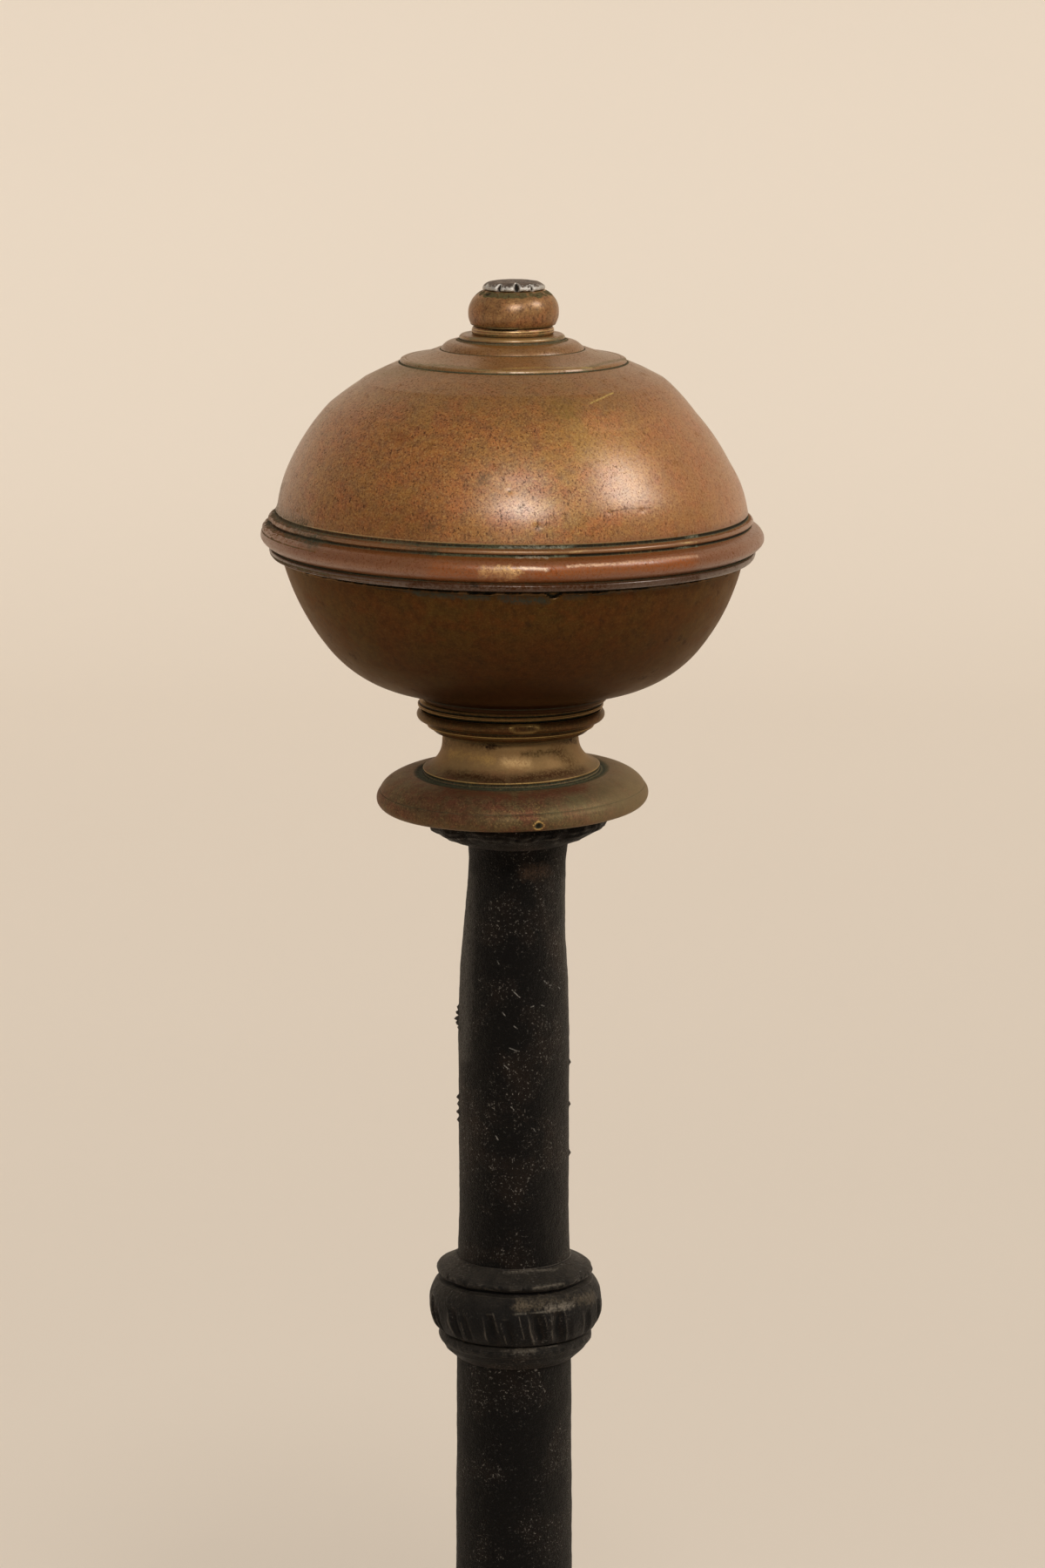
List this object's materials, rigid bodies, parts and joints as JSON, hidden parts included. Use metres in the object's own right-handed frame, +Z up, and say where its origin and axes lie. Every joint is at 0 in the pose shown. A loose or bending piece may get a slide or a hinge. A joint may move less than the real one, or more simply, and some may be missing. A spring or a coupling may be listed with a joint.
{
  "type": "andiron",
  "caption": "Hearth andiron: a belted brass ball on a brass flange and a knopped black iron column, with scrolled front legs and a stepped log bar that turns down to a rear foot.",
  "frame": {"origin": "on the hearth, under the middle of the whole footprint", "axes": "+Z up, front faces -Y, the log bar runs back to +Y, +X to the right seen from the front"},
  "size_m": [0.242, 0.4292, 0.57],
  "materials": {
    "aged_brass": "aged, satin, pitted, with verdigris in the grooves",
    "dark_brass": "aged, darker olive brown, satin",
    "worn_brass": "aged, rubbed bright on the edges",
    "black_iron": "blackened, fine grained",
    "bare_iron": "hammered, bare, mottled"
  },
  "bodies": {
    "root": {"tie_rod": "bare_iron", "finial_button": "worn_brass", "ball_upper_shell": "aged_brass", "ball_lower_shell": "dark_brass", "neck_ring": "worn_brass", "brass_flange": "aged_brass", "cap_plate": "black_iron", "upper_shaft": "black_iron", "knop": "black_iron", "lower_shaft": "black_iron", "foot_knop": "black_iron", "block_cap": "black_iron", "base_block": "black_iron", "left_leg": "black_iron", "right_leg": "black_iron", "leg_rivets": "black_iron", "log_bar": "black_iron", "rear_foot": "black_iron", "tie_washer": "black_iron", "tie_nut": "black_iron"}
  },
  "joints": []
}
